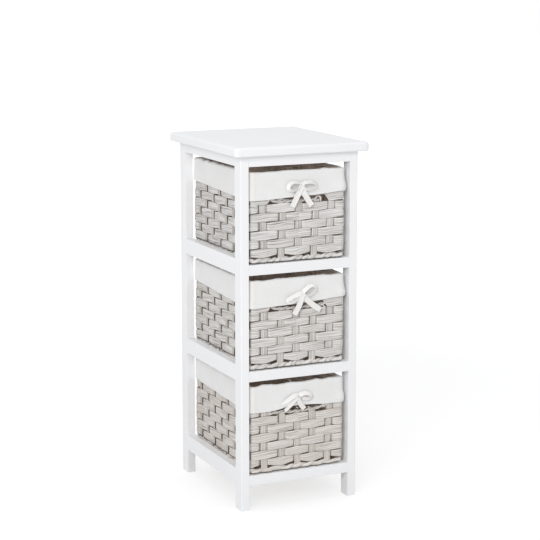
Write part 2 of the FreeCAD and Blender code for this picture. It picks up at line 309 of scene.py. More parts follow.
def gridPiece(body, part, grids, finish, standsFor=None):
    # each grid: points (nu, nv, 3), along (nu + 1) and across (nv + 1) in metres for the UV map, and three
    # marks for the finish, tint, bare and painted shade, one value or one for each row, column or point
    faces, uvs, places = [], [], []
    marks = {"tint": [], "bare": [], "paintedShade": []}
    count = 0
    for grid in grids:
        points, along, across = grid["points"], grid["along"], grid["across"]
        nu, nv = points.shape[:2]
        closed = grid.get("closed", False)
        quads, a, b = gridFaces(points, closed, count)
        flip = facesInward(points, quads)
        if flip:
            quads, a, b = quads[:, ::-1], a[:, ::-1], b[:, ::-1]
        faces += quads.tolist()
        uvs.append(np.stack([along[a], across[b]], -1).reshape(-1, 2))
        if not closed:  # a cap on each end
            for ring, turned in ((0, not flip), (nu - 1, flip)):
                cap = count + ring * nv + np.arange(nv)
                faces.append((cap if turned else cap[::-1]).tolist())
                uvs.append(np.stack([np.full(nv, along[ring]), across[:nv]], -1))
        places.append(points.reshape(-1, 3))
        for mark, values in marks.items():
            values.append(np.broadcast_to(grid.get(mark, 0.0), (nu, nv)).ravel())
        count += nu * nv
    name = f"{body}_{part}"
    mesh = bpy.data.meshes.new(name)
    mesh.from_pydata(np.concatenate(places), [], faces, shade_flat=False)
    mesh.uv_layers.new(name="UVMap").data.foreach_set("uv", np.concatenate(uvs).astype(np.float32).ravel())
    for mark, values in marks.items():
        layer = mesh.attributes.new(mark, "FLOAT", "POINT")
        layer.data.foreach_set("value", np.concatenate(values).astype(np.float32))
    mesh.validate()
    mesh.materials.append(finishes[finish])
    piece = addObject(name, mesh)
    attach(piece, body)
    if standsFor:
        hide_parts(f"{body}_{standsFor}")
    return piece


def smoothLine(points, count):
    # a curve of cubic pieces through every point, sloped by central differences
    slopes = np.gradient(points, axis=0)
    t = np.linspace(0, len(points) - 1, count)
    k = np.clip(t.astype(int), 0, len(points) - 2)
    f = (t - k)[:, None]
    start = points[k] * (1 + 2 * f) * (1 - f) ** 2 + slopes[k] * f * (1 - f) ** 2
    end = points[k + 1] * f ** 2 * (3 - 2 * f) + slopes[k + 1] * f ** 2 * (f - 1)
    return start + end


# Baskets: the way round the wall, and where each stake stands on it

basket = {
    "wallThick": 0.007,
    "cornerRadius": 0.0039, "cornerSteps": 13,  # at the middle of the wall
    "acrossStakes": (5, 0.0323), "deepStakes": (8, 0.0296),  # how many, and how far apart
    "leanTop": 0.0998,  # over the foot, where the upper lean is reached
}
# the front stakes' shifts to the right in millimetres, left to right, at the foot and higher up
stakeLean = {
    "upper": ((2.4, 1.6, 1.3, -1.6, -5.0), (-0.3, 7.0, 2.8, 4.4, 0.5)),
    "middle": ((3.0, 1.0, -1.5, -4.5, -5.0), (3.1, 3.3, -1.9, -0.3, -1.0)),
    "lower": ((1.9, 3.6, 1.3, -2.3, -5.5), (1.9, 4.7, 1.3, -2.3, -1.5)),
}


class WallPath:
    # the rounded rectangle through the middle of the wall, from the front centre towards the right
    def __init__(self, low, high, lean):
        radius, steps = basket["cornerRadius"], basket["cornerSteps"]
        low, high = np.array(low.xy), np.array(high.xy)
        self.centre = (low + high) / 2
        a, b = (high - low - basket["wallThick"]) / 2 - radius
        turns = [np.linspace(0, np.pi / 2, steps) + k * np.pi / 2 for k in range(4)]
        hubs = [(a, -b), (a, b), (-a, b), (-a, -b)]
        angle = np.concatenate([[0], *turns, [2 * np.pi]])
        hub = np.concatenate([[(0, -b)], np.repeat(hubs, steps, 0), [(0, -b)]])
        self.normals = np.stack([np.sin(angle), -np.cos(angle)], -1)
        self.points = hub + radius * self.normals + self.centre
        self.run = lengthAlong(self.points)
        self.length = self.run[-1]
        self.cornerRuns = self.run[1:-1:2]
        self.corners = self.run[1 + steps // 2:-1:steps]  # front right, rear right, rear left, front left
        across, deep = ((np.arange(count) - (count - 1) / 2) * pitch
                        for count, pitch in (basket["acrossStakes"], basket["deepStakes"]))
        half = len(across) // 2
        sides = (across[half:], deep, across, deep, across[:half])
        starts = np.arange(len(sides)) * self.length / 4
        self.stakeRun = np.concatenate([*map(np.add, starts, sides), [self.length]])
        self.stakes = len(self.stakeRun) - 1
        self.lean = np.zeros((2, self.stakes + 1))
        self.lean[:, :half + 1] = np.array(lean)[:, half:] / 1000
        self.lean[:, -half - 1:] = np.array(lean)[:, :half + 1] / 1000

    def stakeRuns(self, share):
        # where the stakes are at this share of the height they lean over
        return self.stakeRun + self.lean[0] * (1 - share) + self.lean[1] * share

    def fromPlace(self, run, place):
        # length from a place on the wall, the shorter way round
        return (run - place + self.length / 2) % self.length - self.length / 2

    def hump(self, run, place, spread):
        # a soft hump, 1 at the place
        return np.exp(-(self.fromPlace(run, place) / spread) ** 2)

    def withCorners(self, run):
        # these lengths and extra ones round the corners, in order
        extra = self.cornerRuns[(self.cornerRuns > run[0]) & (self.cornerRuns < run[-1])]
        return np.unique(np.round(np.concatenate([run, extra]), 5))

    def at(self, run):
        # points and outward normals at these lengths
        run = np.mod(run, self.length)
        point, normal = (np.column_stack([np.interp(run, self.run, column) for column in table.T])
                         for table in (self.points, self.normals))
        return point, unit(normal)


def lengthAlong(points):
    return np.concatenate([[0], np.cumsum(np.linalg.norm(np.diff(points, axis=0), axis=1))])


def unit(vectors):
    return vectors / np.linalg.norm(vectors, axis=1)[:, None]


def onward(normal):
    # the direction along the wall, to the right of each outward normal
    return normal[:, ::-1] * (-1, 1)


def between(values, u):
    # eases from each value to the next, round a ring
    k = np.floor(u).astype(int)
    share = np.sin((u - k) * np.pi / 2) ** 2
    n = len(values)
    return values[k % n] * (1 - share) + values[(k + 1) % n] * share


def solidFrom(point, normal, offset, height):
    # grid points from a plan place, a distance out along its normal and a height
    return np.dstack([point[:, None] + normal[:, None] * offset[..., None], height])


# how far the streaks shift from one strand to the next, along and across
streakStep = {"weft": (0.37, 0.05), "stake": (0.61, 0.05), "rope": (0.43, 0.03), "base": (0.41, 0.07)}


def streaked(along, across, kind, number):
    # the two directions of the UV map for one strand
    return {"along": along + number * streakStep[kind][0], "across": across + number * streakStep[kind][1]}


# Weave: flat bundles of strands, wefts in rows and stakes upright

weave = {
    "weftThick": 0.0026, "weftStrands": 5,
    "weftSway": 0.0014, "weftBelly": 0.0004,  # in and out of the wall, more at a brick's middle
    "weftDeep": 1.5,  # times the sway, behind a stake
    "weftFill": 1.075, "weftTaper": 0.16,  # share of the row's height, and less of it behind a stake
    "weftClimb": 0.0003,  # a brick's right end over its middle
    "weftReach": 0.74,  # how far a brick runs on past its stake, as a share of the wave
    "weftDive": 10.0,  # steepness of the dive
    "weftSteps": (0.0, 0.2, 0.4, 0.55, 0.66, 0.71, 0.74, 0.77, 0.81, 0.88),  # sampled places, in stakes
    "weftShift": (0.125, 0.012),  # bricks beside their stakes, on the sides and the front
    # a brick's shift up, fullness, bulge, and climb of its strands in half heights: mean and random spread
    "brickForms": ((0, 0.00035), (1, 0.035), (1, 0.06), (0.26, 0.22)),
    "brickTone": 0.2, "mostTone": 0.6,
    "stakeWidth": (0.01, 0.0127),  # on the sides and the front
    "stakeThick": 0.0022, "stakeSway": 0.0008, "stakeStrands": 4,
    "stakeTone": (0.46, 0.16),  # mean, a painted shade that darkens the stakes sitting back between the bricks, and random spread
    "stakeWander": 0.0004, "stakeFan": 0.08,
    "stakeFoot": 0.004, "stakeEnd": 0.004,  # over the foot, and over the sill of the grip hole
    "stepHeight": 0.0155, "stepsEach": 7,
    "crownPower": 2.1, "ridgePower": 0.6,  # how full a bundle is, and its strands
    # groove depth, then painted shade in the grooves and at the edges between rows, and bare brown at the
    # edges
    "groove": 0.42, "grooveEdge": 0.1, "grooveShade": 0.3, "edgeShade": 0.62, "edgeBare": 0.2,
    "endShade": 0.95,  # painted shade at a brick's end, where it dives in
    "endDots": 0.72, "sideDots": 0.25,  # how far that is only dots, on the front and the sides
    "diveEdge": (0.1, 0.5),  # where in the dive the painted shade begins, and how soft
    "footRise": 0.0034, "footSide": 0.0012,  # the first row's edge: up at a brick's ends, down on the sides
    "footShade": 0.88,  # painted shadow on the sides, where the weave goes down behind the rail
    "shadeTop": (0.0118, 0.001),  # over the foot, and how soft
    "cornerBelly": ((0, 0.0026, 0.125), (2, 0.0024, 0.11)),  # corner, how far out, up to what height
    "bellySpread": 0.01,
    "sideShade": 0.07, "cornerShade": 0.26, "cornerSpread": 0.035,  # painted shade on the sides, and at rear corners
    "sideEdge": 0.22,  # less painted shade between the rows, on the sides
    "endRun": (0.36, 0.03), "endClear": 0.02,  # how far the rows beside the grip hole run into it, in stakes
    "endLift": 0.85,  # how far the lower one's end rises, in half heights
    "rowsBelowGrip": 6, "rowsBesideGrip": 2,
    "footGap": 0.0012,  # between the foot rope and the first row
    "gripHeights": (0.0998, 0.1338), "gripHalf": 0.0585,  # over the foot, and half across
}


class Bundle:
    # section of a flat oval bundle: one rounded ridge per strand on both faces
    # v goes from edge to edge and back, out is the height of the face there
    def __init__(self, strands):
        face = np.linspace(-1, 1, 3 * strands + 1)
        edges = [0, len(face) - 1]
        self.v = np.concatenate([face, face[-2:0:-1]])
        self.loop = np.append(self.v, -1)
        crown = np.sqrt(np.clip(1 - np.abs(self.v) ** weave["crownPower"], 0, 1))
        ridge = np.abs(np.sin(strands * np.pi * (self.v + 1) / 2))
        outside = np.arange(len(self.v)) < len(face)
        depth = weave["groove"] * (1 - ridge ** weave["ridgePower"])
        self.out = np.where(outside, 1, -1) * crown * (1 - depth)
        self.bare = np.where(outside, 0.0, 1.0)
        self.bare[edges] = weave["edgeBare"]
        self.gap = 1 - ridge
        # painted shade: dark in the grooves between strands, darker at the edges where rows meet
        self.paintedShade = weave["grooveShade"] * (ridge < weave["grooveEdge"]) * outside
        self.paintedShade[edges] = weave["edgeShade"]
        self.strand = np.clip(((self.v + 1) / 2 * strands).astype(int), 0, strands - 1)

    def slanted(self, fan):
        # v along the length, with the strands moved by fan but the edges kept
        return self.v + fan[:, None] * (1 - self.v ** 2)


def rowCentres(low, sill, high):
    # middles and heights of the rows: below the grip hole, beside it and over it
    below = np.linspace(low, sill[0], weave["rowsBelowGrip"] + 1)
    beside = np.linspace(sill[0], sill[1], weave["rowsBesideGrip"] + 1)
    edges = np.concatenate([below, beside[1:], [high]])
    return (edges[:-1] + edges[1:]) / 2, np.diff(edges)


def sideShade(path, run, height, sideways):
    # painted shade on the weave: at the rear corners, and on the sides, most of all at the foot behind the
    # rail
    top, soft = weave["shadeTop"]
    rear = sum(path.hump(run, corner, weave["cornerSpread"]) for corner in path.corners[1:3])
    side = np.maximum(weave["footShade"] * np.clip((top - height) / soft, 0, 1), weave["sideShade"])
    return np.maximum(weave["cornerShade"] * rear, side * np.abs(sideways))


def weftRows(path, foot, centres, heights, parity, rng):
    # each row waves steeply in and out past the stakes, tallest in front of one, and its strands climb a
    # little from one end of a brick to the other
    grids = []
    bundle = Bundle(weave["weftStrands"])
    stakes = path.stakes
    numbers = np.arange(stakes + 1)
    lastBelow = weave["rowsBelowGrip"]
    gripEnd = weave["gripHalf"] / basket["acrossStakes"][1]
    longEnd, shortEnd = weave["endRun"]
    sideShift, frontShift = weave["weftShift"]
    begin, soft = weave["diveEdge"]
    half = np.array(weave["weftSteps"])
    bricks = 2 * np.arange(stakes // 2)[:, None] + np.concatenate([half, 2 - half[1:], [1.0]])
    for row, (middle, height) in enumerate(zip(centres, heights)):
        broken = lastBelow <= row < lastBelow + weave["rowsBesideGrip"]
        u = np.sort(np.mod(bricks + row + parity, stakes), axis=None)
        start = gripEnd - (longEnd if row == lastBelow else shortEnd)
        if broken:
            clear = start + weave["endClear"]
            u = np.concatenate([[start], u[(u > clear) & (u < stakes - clear)], [stakes - start]])
        share = np.clip((middle - foot) / basket["leanTop"], 0, 1)
        run = path.withCorners(np.interp(u, numbers, path.stakeRuns(share)))
        u = np.interp(run, path.stakeRuns(share), numbers)
        point, normal = path.at(run)
        sideways, frontal = np.abs(normal[:, :1]), np.abs(normal[:, 1:])
        brick = u + normal[:, 0] * sideShift - normal[:, 1] * frontShift + row + parity
        phase, climb = np.cos(np.pi * brick), np.sin(np.pi * brick)
        swing = np.tanh(weave["weftDive"] * (phase + weave["weftReach"]))
        drift, plump, bulge, slant = [between(rng.normal(mean, spread, stakes), u)
                                      for mean, spread in weave["brickForms"]]
        tall = height * plump * (weave["weftFill"] - weave["weftTaper"] * (1 - phase) / 2)
        v = bundle.slanted(slant * climb / 2)
        sway = weave["weftSway"] * swing * np.where(swing < 0, weave["weftDeep"], bulge)
        sway += weave["weftBelly"] * np.clip(phase, 0, 1)
        for corner, belly, top in weave["cornerBelly"]:
            full = math.sqrt(max(0, math.sin(np.pi * min(1, (middle - foot) / top))))
            sway += full * belly * path.hump(run, path.corners[corner], weave["bellySpread"])
        offset = sway[:, None] + weave["weftThick"] / 2 * bundle.out
        lift = (middle + drift + weave["weftClimb"] * climb)[:, None] + (tall / 2)[:, None] * v
        if row == lastBelow:
            end = np.clip(1 - np.minimum(u - start, stakes - start - u) / longEnd, 0, 1)
            lift += (tall / 2 * weave["endLift"] * end)[:, None] * (1 - v)
        if row == 0:
            rise = weave["footRise"] * (1 - phase[:, None]) / 2 * frontal - weave["footSide"] * sideways
            lift += rise * (1 - v) / 2
        tones = np.stack([between(np.abs(rng.normal(0, weave["brickTone"], stakes)), u + 0.5)
                          for strand in range(weave["weftStrands"])], 1)
        # painted shade: dark where a brick dives in behind its stake (on the front only in dots between
        # strands), on the sides and rear corners, and in grooves and at row edges
        dotted = 1 - (weave["endDots"] * frontal + weave["sideDots"] * sideways) * (1 - bundle.gap)
        dive = np.clip((-begin - swing) / soft, 0, 1)[:, None]
        paintedShades = [weave["endShade"] * dive * dotted * (1 - bundle.bare),
                sideShade(path, run[:, None], lift - foot, sideways),
                bundle.paintedShade * (1 - weave["sideEdge"] * sideways)]
        along = np.append(run, run[0] + path.length)
        grids.append({"points": solidFrom(point, normal, offset, lift), "closed": not broken,
                      "tint": np.clip(tones, 0, weave["mostTone"])[:, bundle.strand],
                      "bare": bundle.bare, "paintedShade": np.maximum.reduce(paintedShades),
                      **streaked(along, bundle.loop * height / 2, "weft", row)})
    return grids


def uprightStakes(path, foot, centres, sill, high, parity, rng):
    # upright bundles that sway the other way, and lean a little from row to row
    grids = []
    bundle = Bundle(weave["stakeStrands"])
    low = foot + weave["stakeFoot"]
    shadeTone, toneSpread = weave["stakeTone"]
    cut = (path.stakes - 1, 0, 1)  # these end at the sill of the grip hole
    for stake in range(path.stakes):
        top = sill + weave["stakeEnd"] if stake in cut else high
        z = np.linspace(low, top, weave["stepsEach"] * int(round((top - low) / weave["stepHeight"])))
        rowPlace = np.interp(z, centres, np.arange(len(centres)))
        share = np.clip((z - foot) / basket["leanTop"], 0, 1)
        lean = path.lean[0, stake] * (1 - share) + path.lean[1, stake] * share
        lean += np.interp(z, centres, rng.normal(0, weave["stakeWander"], len(centres)))
        v = bundle.slanted(np.interp(z, centres, rng.normal(0, weave["stakeFan"], len(centres))))
        offset = -weave["stakeSway"] * np.cos(np.pi * (rowPlace + stake + parity))
        offset = offset[:, None] + weave["stakeThick"] / 2 * bundle.out
        run = path.stakeRun[stake:stake + 1]
        point, normal = path.at(run)
        width = np.abs(normal[0]) @ np.array(weave["stakeWidth"])
        points = solidFrom(point, normal, offset, np.broadcast_to(z[:, None], v.shape))
        points[..., :2] += onward(normal) * (lean[:, None] + width / 2 * v)[..., None]
        # the mean tint darkens every stake as painted shade; the spread is random tone
        tones = shadeTone + rng.normal(0, toneSpread, weave["stakeStrands"])
        shade = sideShade(path, run, z - foot, normal[0, 0])
        grids.append({"points": points, "tint": np.clip(tones, 0, weave["mostTone"])[bundle.strand],
                      "bare": bundle.bare, "paintedShade": np.maximum(shade[:, None], bundle.paintedShade),
                      **streaked(np.append(z, z[-1]), bundle.loop * width / 2, "stake", stake)})
    return grids


# Ropes: the twisted border round the foot and the cord along the sill of the grip hole

# grooveShade, innerShade and underShade are painted shade: in the grooves, where a strand faces the core,
# and a shadow line under the rope
rope = {"strands": 2, "core": 0.0017, "strand": 0.0023, "bead": 0.36, "most": 0.0031, "tall": 1.3,
        "centreHeight": 0.0047, "lumpy": 0.19, "uneven": 4.0, "ridges": 7, "groove": 0.16,
        "grooveShade": 0.2, "innerShade": 0.7, "underShade": 0.9, "underEdge": (-0.002, 0.001),
        "mostTone": 0.3, "steps": 660, "sides": 16, "turns": {"upper": 26, "middle": 25, "lower": 18}}


def innerSide(phi, turn):
    # up to a half, where a wound strand faces the middle of its rope; used there as painted shade
    return np.clip(-np.cos(phi - turn[:, None]) - 0.5, 0, 1)


def footRopeGrids(path, foot, turns, rng):
    # strands wound round the way of the wall: the angle grows along it, unevenly, and each ridged strand
    # swells to a bead where it comes round to the outside
    run = path.withCorners(np.linspace(0, path.length, rope["steps"], endpoint=False))
    point, normal = path.at(run)
    share = run / path.length
    beads = 2 * turns
    phi = np.linspace(0, 2 * np.pi, rope["sides"], endpoint=False)
    across = np.arange(len(phi) + 1) * rope["strand"] * phi[1]
    edge, soft = rope["underEdge"]
    swells = [between(rng.normal(1, rope["lumpy"], beads), share * beads)
              for strand in range(rope["strands"])]
    hurry = rope["uneven"] * (swells[0] - 1)
    grids = []
    for strand, lumps in enumerate(swells):
        theta = 2 * np.pi * (turns * share + strand / rope["strands"]) + hurry
        groove = 1 - np.abs(np.sin(rope["ridges"] * (phi - theta[:, None]) / 2))
        swell = rope["strand"] * lumps * (1 + rope["bead"] * np.cos(theta))
        radius = np.minimum(swell, rope["most"])[:, None] * (1 - rope["groove"] * groove)
        out = rope["core"] * np.cos(theta)[:, None] + radius * np.cos(phi)
        up = rope["core"] * np.sin(theta)[:, None] + rope["tall"] * radius * np.sin(phi)
        # painted shade in the grooves and where a strand faces the core, and a painted shadow along the
        # underside
        paintedShades = [rope["grooveShade"] * groove ** 2, rope["innerShade"] * innerSide(phi, theta),
                rope["underShade"] * np.clip((edge - up) / soft, 0, 1)]
        grids.append({"points": solidFrom(point, normal, out, foot + rope["centreHeight"] + up),
                      "closed": True, "paintedShade": np.maximum.reduce(paintedShades),
                      "tint": np.clip(np.abs(lumps - 1), 0, rope["mostTone"])[:, None],
                      **streaked(np.append(run, path.length), across, "rope", strand)})
    return grids


cord = {"core": 0.0014, "strand": 0.0018, "pitch": 0.026, "out": 0.0006, "steps": 160, "sides": 12,
        "ridges": 5, "groove": 0.14, "grooveShade": 0.3, "tint": (0.1, 0.25), "unwind": 0.006,
        "endTaper": 0.004, "sideWidth": 0.0009}
# (across, up) in millimetres from the middle of the sill, and where the second strand ends
sillLines = {
    "upper": ([(-51, 9.5), (-45.5, 6.5), (-38, 4.2), (-28, 3.6), (-17, 4.2), (-4, 3), (10, 3.8), (24, 3.2),
               (33.5, 4.4), (36.5, 7.4), (40, 9.2), (43.4, 7.2), (44.4, 3.2), (44.4, -0.5)], 31),
    "middle": ([(-50, 9.5), (-45.5, 6.8), (-39, 4), (-31, 3.4), (-23.6, 3.9), (-8, 3), (16, 3.6),
                (31, 3.9), (47, 4.8), (55, 7.2), (60, 10)], 70),
    "lower": ([(-60, 3.5), (-47, 4.8), (-31, 5.5), (-15, 4), (0.5, 3.4), (16, 4), (32, 4.6), (44.5, 6.2),
               (56, 8.6), (62, 11)], 70),
}


def sillRopeGrids(path, sill, line, alone):
    # two strands wound round a line along the sill; where the second has ended the first runs straight
    place = smoothLine(np.array(line) / 1000, cord["steps"])
    forward = np.gradient(place, axis=0)
    step = np.linalg.norm(forward, axis=1)
    acrossLine = np.column_stack([-forward[:, 1], forward[:, 0]]) / step[:, None]
    length = np.cumsum(step) - step[0]
    left = alone / 1000 - place[:, 0]
    wound = cord["core"] * np.clip(left / cord["unwind"], 0, 1)
    phi = np.linspace(0, 2 * np.pi, cord["sides"], endpoint=False)
    groove = 1 - np.abs(np.sin(cord["ridges"] * phi / 2))
    across = np.arange(len(phi) + 1) * cord["sideWidth"]
    grids = []
    for strand, last in enumerate((len(length), np.count_nonzero(np.cumsum(left < 0) == 0))):
        part = slice(0, last)
        run = length[part]
        turn = 2 * np.pi * run / cord["pitch"] + strand * np.pi
        ends = np.clip(np.minimum(run, run[-1] - run) / cord["endTaper"], 0, 1)
        radius = (cord["strand"] * (1 + ends) / 2)[:, None] * (1 - cord["groove"] * groove)
        point, normal = path.at(place[part, 0])
        shift = (wound[part] * np.sin(turn))[:, None] + radius * np.sin(phi)
        out = cord["out"] + (wound[part] * np.cos(turn))[:, None] + radius * np.cos(phi)
        points = solidFrom(point, normal, out, sill + place[part, 1:] + shift * acrossLine[part, 1:])
        points[..., :2] += onward(normal)[:, None, :] * (shift * acrossLine[part, :1])[..., None]
        grids.append({"points": points, "tint": cord["tint"][strand],
                      # painted shade in the grooves and where a strand faces the core
                      "paintedShade": np.maximum(cord["grooveShade"] * groove, innerSide(phi, turn)),
                      **streaked(np.append(run, run[-1]), across, "rope", strand)})
    return grids


# Base: flat strips woven over and under

mat = {"strips": (6, 9), "strands": 4, "thick": 0.0016, "sway": 0.0008, "fill": 0.95, "stepsEach": 8}


def baseGrids(low, high):
    # strips along y, then x; each sways up and down past those that cross it
    grids = []
    bundle = Bundle(mat["strands"])
    middle = (low.z + high.z) / 2
    for way in (0, 1):
        strips, crossings = mat["strips"][way], mat["strips"][1 - way]
        pitch = (high[way] - low[way]) / strips
        span = high[1 - way] - low[1 - way]
        t = np.linspace(0, 1, mat["stepsEach"] * crossings + 1)
        for strip in range(strips):
            swing = mat["sway"] * np.sin(np.pi * (t * crossings)) * (-1) ** (strip + way)
            points = np.zeros((len(t), len(bundle.v), 3))
            points[..., way] = low[way] + pitch * (strip + 0.5) + pitch * mat["fill"] / 2 * bundle.v
            points[..., 1 - way] = (low[1 - way] + span * t)[:, None]
            points[..., 2] = middle + swing[:, None] - mat["thick"] / 2 * bundle.out
            # the bundle's painted shade darkens the grooves and the strip edges
            grids.append({"points": points, "tint": 1.0, "bare": 1.0, "paintedShade": bundle.paintedShade,
                          **streaked(np.append(t, 1) * span, bundle.loop * pitch / 2, "base", strip)})
    return grids


# Cuff: one band of cloth, from the inner edge of the rim over it and down outside, with a hem

cuff = {
    "cloth": 0.001,
    "inner": -0.0032, "outer": 0.0046,  # the cloth's middle from the wall's, inside and outside
    "tuckTurn": 2.5, "tuckSteps": 12,  # radians round the rim, from outside to inside
    "crestRise": 0.0026,
    "crestRough": (0.0006, 64),  # random spread, and how many places round the rim
    "ease": 0.0008, "easeMean": 0.8, "easeGrowth": 1.5,
    "waves": (6, 10, 17, 27),  # soft waves that grow towards the hem
    "edgeSmooth": 0.007, "edgeWave": 0.0004,
    "hemWidth": 0.008, "hemThick": 0.0005, "hemStep": 0.0006,
    "seamPlace": -0.0835,  # sewn joint of the band, across the front
    "seamHalf": 0.005, "seamThick": 0.0003, "seamStep": 0.0007, "seamTint": 0.8,
    "cornerBulge": 0.003, "cornerSpread": 0.016,  # at the front right corner
    "bulgeShare": (0.8, 0.26),  # of the fall, and how far the bulge spreads up and down it
    "steps": 420,
    "fallShares": (*np.linspace(0.04, 0.8, 12), 0.815, 0.83, 0.87, 0.93, 0.98, 1.0),
    "flatWidth": 0.063, "flatSpare": 0.04,  # as cut, and length for the sewn joint and ease
    "stitchPitch": 0.0042, "stitchLength": 0.0026, "stitchRadius": 0.0003,
    "stitchSteps": 5, "stitchSides": 6, "stitchTaper": 0.96, "stitchStretch": (0.0005, 0.0003),
    "stitchDrop": 0.0012,  # under the hem's top
}
# (across, height over the foot) of the cuff's lower edge in millimetres, then its height at the rear corners
cuffEdge = {
    "upper": ([(-92, 107.2), (-60, 107.8), (-40, 109.2), (0, 110.9), (45, 112.8), (88, 116.8)],
              (112, 115.5)),
    "middle": ([(-92, 107.2), (-60, 108.2), (-40, 109), (0, 110.6), (45, 113), (88, 117)],
               (111, 117.5)),
    "lower": ([(-92, 109.5), (-64, 108.9), (-42, 109.8), (-28, 113.3), (-8, 115), (30, 113.6), (46, 111),
               (64, 111.4), (88, 111.6)], (111, 116.5)),
}


class CuffForm:
    # the cloth's middle surface: share 0 at the rim's outer side, 1 at the lower edge
    def __init__(self, path, foot, rim, edges, rng):
        self.path, self.foot, self.rim = path, foot, rim
        front, back = (np.array(edge) / 1000 for edge in edges)
        self.edgeRun = np.concatenate([front[:, 0] - path.centre[0], path.corners[1:3]])
        self.edgeHeight = np.concatenate([front[:, 1], back])
        self.phase = rng.random(len(cuff["waves"]))
        self.crestDip = rng.normal(0, *cuff["crestRough"])
        self.bulgeRun = path.run[basket["cornerSteps"]]  # where the front right bend ends

    def wave(self, run):
        # sines of unlike length round the basket
        return sum(np.sin(2 * np.pi * (count * run / self.path.length + p)) / (i + 2)
                   for i, (count, p) in enumerate(zip(cuff["waves"], self.phase)))

    def fallTop(self, run):
        rough = between(self.crestDip, run / self.path.length * len(self.crestDip))
        return self.rim - cuff["cloth"] / 2 + rough - cuff["crestRise"]

    def lowerEdge(self, run):
        # straight from one given place to the next, smoothed, with a slight wave
        heights = sum(np.interp(run + shift, self.edgeRun, self.edgeHeight, period=self.path.length)
                      for shift in (-cuff["edgeSmooth"], 0, cuff["edgeSmooth"])) / 3
        return self.foot + heights + cuff["edgeWave"] * self.wave(run)

    def fall(self, run, share):
        # offset and height on the outside: waves grow with share, and one corner bulges
        bulgeShare, spread = cuff["bulgeShare"]
        puff = np.exp(-((share - bulgeShare) / spread) ** 2)
        puff = puff * self.path.hump(run, self.bulgeRun, cuff["cornerSpread"])
        ease = cuff["ease"] * share ** cuff["easeGrowth"] * (cuff["easeMean"] + self.wave(run))
        top = self.fallTop(run)
        return cuff["outer"] + ease + cuff["cornerBulge"] * puff, top + (self.lowerEdge(run) - top) * share

    def thickness(self, run, height):
        # the hem and the seam are thicker
        hem = np.clip((self.lowerEdge(run) + cuff["hemWidth"] - height) / cuff["hemStep"], 0, 1)
        return cuff["cloth"] + cuff["hemThick"] * hem + cuff["seamThick"] * self.seam(run)

    def seam(self, run):
        away = np.abs(self.path.fromPlace(run, cuff["seamPlace"]))
        return np.clip((cuff["seamHalf"] - away) / cuff["seamStep"], 0, 1)


def cuffGrid(form):
    # the profile, part of an ellipse over the rim then the fall, is given its thickness along its own normal
    run = form.path.withCorners(np.linspace(0, form.path.length, cuff["steps"], endpoint=False))
    point, normal = form.path.at(run)
    middle, reach = (cuff["outer"] + cuff["inner"]) / 2, (cuff["outer"] - cuff["inner"]) / 2
    angle = np.linspace(cuff["tuckTurn"], 0, cuff["tuckSteps"])[:, None]
    tuckOffset = np.broadcast_to(middle + reach * np.cos(angle), (len(angle), len(run)))
    tuckHeight = form.fallTop(run) + cuff["crestRise"] * np.sin(angle)
    fallOffset, fallHeight = zip(*(form.fall(run, share) for share in cuff["fallShares"]))
    offset, height = np.concatenate([tuckOffset, fallOffset]), np.concatenate([tuckHeight, fallHeight])
    slopeOut, slopeUp = np.gradient(offset, axis=0), np.gradient(height, axis=0)
    half = form.thickness(run, height) / 2
    half[:len(angle)] = cuff["cloth"] / 2
    size = np.hypot(slopeOut, slopeUp) / half
    outward, upward = -slopeUp / size, slopeOut / size
    loopOffset = np.concatenate([offset + outward, (offset - outward)[::-1]])
    loopHeight = np.concatenate([height + upward, (height - upward)[::-1]])
    steps = np.hypot(np.diff(offset, axis=0), np.diff(height, axis=0)).mean(1)
    length = np.concatenate([[0], np.cumsum(steps)])
    points = np.dstack([point + normal * loopOffset[..., None], loopHeight])
    return {"points": points, "closed": True,
            "tint": cuff["seamTint"] * form.seam(run), "across": np.append(run, form.path.length),
            "along": np.concatenate([length, length[::-1], length[:1]])}


def hemStitches(form):
    # short rounded stitches in a row along the top of the hem
    count = int(form.path.length / cuff["stitchPitch"])
    steps, sides = cuff["stitchSteps"], cuff["stitchSides"]
    t = np.linspace(-1, 1, steps)
    phi = np.arange(sides) * 2 * np.pi / sides
    radius = cuff["stitchRadius"] * np.sqrt(1 - (cuff["stitchTaper"] * t) ** 2)[:, None]
    along, across = (np.arange(n + 1) * size for n, size in zip((steps, sides), cuff["stitchStretch"]))
    grids = []
    for start in np.arange(count) * form.path.length / count:
        run = np.mod(start + t * cuff["stitchLength"] / 2, form.path.length)
        top, low = form.fallTop(run), form.lowerEdge(run)
        offset, height = form.fall(run, (low + cuff["hemWidth"] - cuff["stitchDrop"] - top) / (low - top))
        out = (offset + form.thickness(run, height) / 2)[:, None] + radius * np.cos(phi)
        points = solidFrom(*form.path.at(run), out, height[:, None] + radius * np.sin(phi))
        grids.append({"points": points, "along": along + start, "across": across})
    return grids


# Bows: strips of tape, each on its own smooth line

tape = {"loopWidth": 0.008, "thick": 0.0008, "selvedge": 0.25, "selvedgeFrom": 0.8, "cuffFront": -0.1335,
        "steps": 48, "curl": 0.0004, "section": (-1, -0.82, -0.4, 0, 0.4, 0.82, 1), "flatWidth": 0.01}
